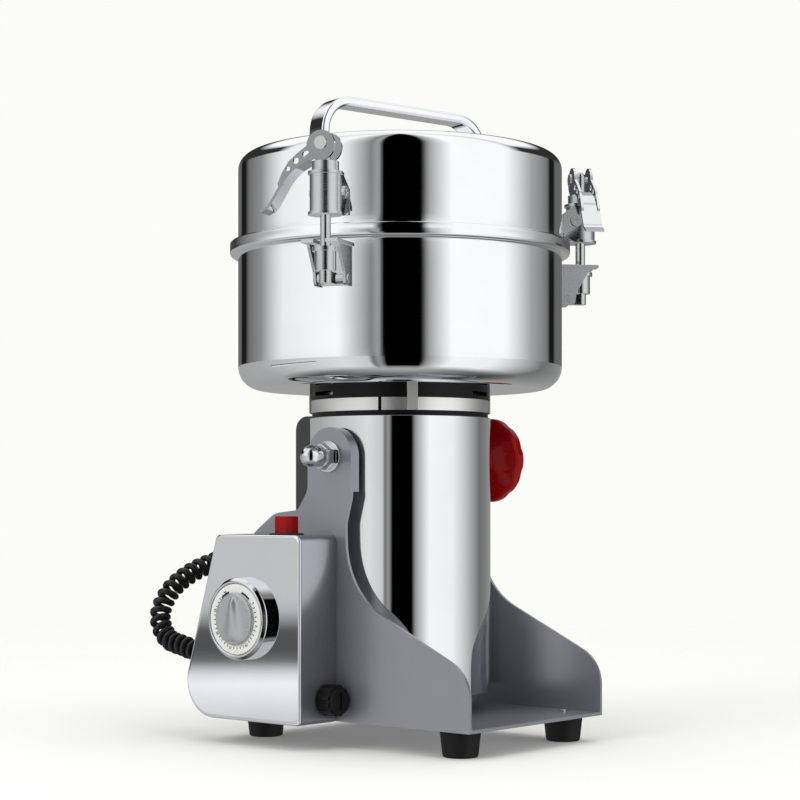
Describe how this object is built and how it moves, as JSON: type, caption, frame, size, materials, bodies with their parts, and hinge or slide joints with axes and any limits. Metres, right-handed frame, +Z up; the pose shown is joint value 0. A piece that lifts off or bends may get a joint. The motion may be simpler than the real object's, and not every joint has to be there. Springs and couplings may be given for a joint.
{
  "type": "assembly",
  "caption": "Steel bench grinder for spices: tilting motor head with bowl, clamp-down lid, timer box and curly lead",
  "frame": {"origin": "on the floor plane under the feet, on the common axis of the motor, the bowl and the lid", "axes": "+Z is up, +X runs along the tilt axis away from the control box, -Y is the front towards which the head tilts"},
  "size_m": [0.2313, 0.2451, 0.39],
  "materials": {
    "grey_enamel": "satin",
    "box_enamel": "satin",
    "polished_steel": "polished",
    "brushed_steel": "brushed",
    "chrome": "mirror",
    "machined_steel": "machined",
    "cast_aluminium": "satin",
    "black_metal": "satin",
    "core_steel": "varnished",
    "copper": "enamelled",
    "rubber": "matt",
    "black_plastic": "fine grain",
    "white_plastic": "satin",
    "red_plastic": "gloss",
    "silicone": "satin",
    "lead_jacket": "satin"
  },
  "bodies": {
    "base": {"base_frame": "grey_enamel", "rubber_feet": "rubber", "foot_screws": "machined_steel", "pivot_bushes": "white_plastic", "pivot_washer": "chrome", "control_box": "box_enamel", "box_face_cover": "polished_steel", "timer_body": "white_plastic", "timer_bezel": "chrome", "dial_ring": "white_plastic", "button_housing": "black_plastic", "fuse_holder": "black_plastic", "box_glands": "black_plastic", "curly_lead": "lead_jacket"},
    "timer_knob_body": {"timer_knob": "cast_aluminium"},
    "power_button_body": {"power_button": "red_plastic"},
    "fuse_cap_body": {"fuse_cap": "black_plastic"},
    "head": {"motor_tube": "polished_steel", "bottom_cap": "black_metal", "terminal_cover": "brushed_steel", "cover_screws": "machined_steel", "motor_gland": "black_plastic", "pivot_stud": "machined_steel", "acorn_nut": "chrome", "clamp_boss": "machined_steel", "end_frame": "black_metal", "neck_ring": "brushed_steel", "stator_core": "core_steel", "field_coils": "copper", "bearings": "machined_steel", "brush_holders": "black_plastic", "shaft_seal": "rubber", "bowl": "polished_steel", "bowl_screws": "machined_steel", "latch_brackets": "brushed_steel", "bracket_pins": "machined_steel"},
    "clamp": {"clamp_knob": "red_plastic", "clamp_screw": "machined_steel"},
    "rotor": {"motor_shaft": "machined_steel", "armature": "core_steel", "commutator": "copper", "cooling_fan": "black_plastic", "blades": "brushed_steel", "blade_nut": "chrome"},
    "lid_body": {"lid": "polished_steel", "lid_gasket": "silicone", "lid_handle": "polished_steel", "lid_lugs": "brushed_steel"},
    "rod_1": {"tension_rod_1": "machined_steel"},
    "sleeve_1": {"latch_sleeve_1": "brushed_steel", "cross_screw_1": "machined_steel"},
    "lever_1": {"cam_lever_1": "chrome"},
    "rod_2": {"tension_rod_2": "machined_steel"},
    "sleeve_2": {"latch_sleeve_2": "brushed_steel", "cross_screw_2": "machined_steel"},
    "lever_2": {"cam_lever_2": "chrome"},
    "rod_3": {"tension_rod_3": "machined_steel"},
    "sleeve_3": {"latch_sleeve_3": "brushed_steel", "cross_screw_3": "machined_steel"},
    "lever_3": {"cam_lever_3": "chrome"}
  },
  "joints": [
    {"name": "bowl_tilt", "type": "hinge", "parent": "base", "child": "head", "pos_m": [0, 0, 0.1724], "axis": [1, 0, 0], "range_deg": [0, 90], "deforming": ["curly_lead"]},
    {"name": "rotor_spin", "type": "hinge", "parent": "head", "child": "rotor", "pos_m": [0, 0, 0.13], "axis": [0, 0, 1], "continuous": true},
    {"name": "clamp_knob_turn", "type": "hinge", "parent": "head", "child": "clamp", "pos_m": [0.08, 0, 0.1724], "axis": [1, 0, 0], "range_deg": [0, 180]},
    {"name": "timer_knob_turn", "type": "hinge", "parent": "base", "child": "timer_knob_body", "pos_m": [-0.107, 0.0395, 0.076], "axis": [1, 0, 0], "range_deg": [0, 300]},
    {"name": "power_button_press", "type": "slide", "parent": "base", "child": "power_button_body", "axis": [0, 0, -1], "range_m": [0, 0.003], "stiffness_N_per_m": 300, "springref_m": -0.002},
    {"name": "fuse_cap_turn", "type": "hinge", "parent": "base", "child": "fuse_cap_body", "pos_m": [-0.075, -0.012, 0.029], "axis": [0, -1, 0], "range_deg": [0, 90]},
    {"name": "latch_1_swing", "type": "hinge", "parent": "head", "child": "rod_1", "pos_m": [0.02025, 0.10323, 0.2724], "axis": [-0.9813, 0.1925, 0], "range_deg": [0, 90]},
    {"name": "sleeve_1_rise", "type": "slide", "parent": "rod_1", "child": "sleeve_1", "axis": [0, 0, 1], "range_m": [0, 0.0016]},
    {"name": "lever_1_turn", "type": "hinge", "parent": "rod_1", "child": "lever_1", "pos_m": [0.02204, 0.11236, 0.34752], "axis": [-0.1925, -0.9813, 0], "range_deg": [0, 150]},
    {"name": "latch_2_swing", "type": "hinge", "parent": "head", "child": "rod_2", "pos_m": [-0.09953, -0.03408, 0.2724], "axis": [0.3239, -0.9461, 0], "range_deg": [0, 90]},
    {"name": "sleeve_2_rise", "type": "slide", "parent": "rod_2", "child": "sleeve_2", "axis": [0, 0, 1], "range_m": [0, 0.0016]},
    {"name": "lever_2_turn", "type": "hinge", "parent": "rod_2", "child": "lever_2", "pos_m": [-0.10833, -0.03709, 0.34752], "axis": [0.9461, 0.3239, 0], "range_deg": [0, 150]},
    {"name": "latch_3_swing", "type": "hinge", "parent": "head", "child": "rod_3", "pos_m": [0.07927, -0.06916, 0.2724], "axis": [0.6574, 0.7536, 0], "range_deg": [0, 90]},
    {"name": "sleeve_3_rise", "type": "slide", "parent": "rod_3", "child": "sleeve_3", "axis": [0, 0, 1], "range_m": [0, 0.0016]},
    {"name": "lever_3_turn", "type": "hinge", "parent": "rod_3", "child": "lever_3", "pos_m": [0.08628, -0.07527, 0.34752], "axis": [-0.7536, 0.6574, 0], "range_deg": [0, 150]},
    {"name": "lid_lift", "type": "slide", "parent": "head", "child": "lid_body", "axis": [0, 0, 1], "range_m": [0, 0.0226]}
  ],
  "couplings": [
    {"joint": "sleeve_1_rise", "follows": "lever_1_turn", "m_per_rad": 0.0006},
    {"joint": "sleeve_2_rise", "follows": "lever_2_turn", "m_per_rad": 0.0006},
    {"joint": "latch_2_swing", "follows": "latch_1_swing", "ratio": 1},
    {"joint": "sleeve_3_rise", "follows": "lever_3_turn", "m_per_rad": 0.0006},
    {"joint": "latch_3_swing", "follows": "latch_1_swing", "ratio": 1},
    {"joint": "lid_lift", "follows": "latch_1_swing", "m_per_rad": 0.014324}
  ]
}
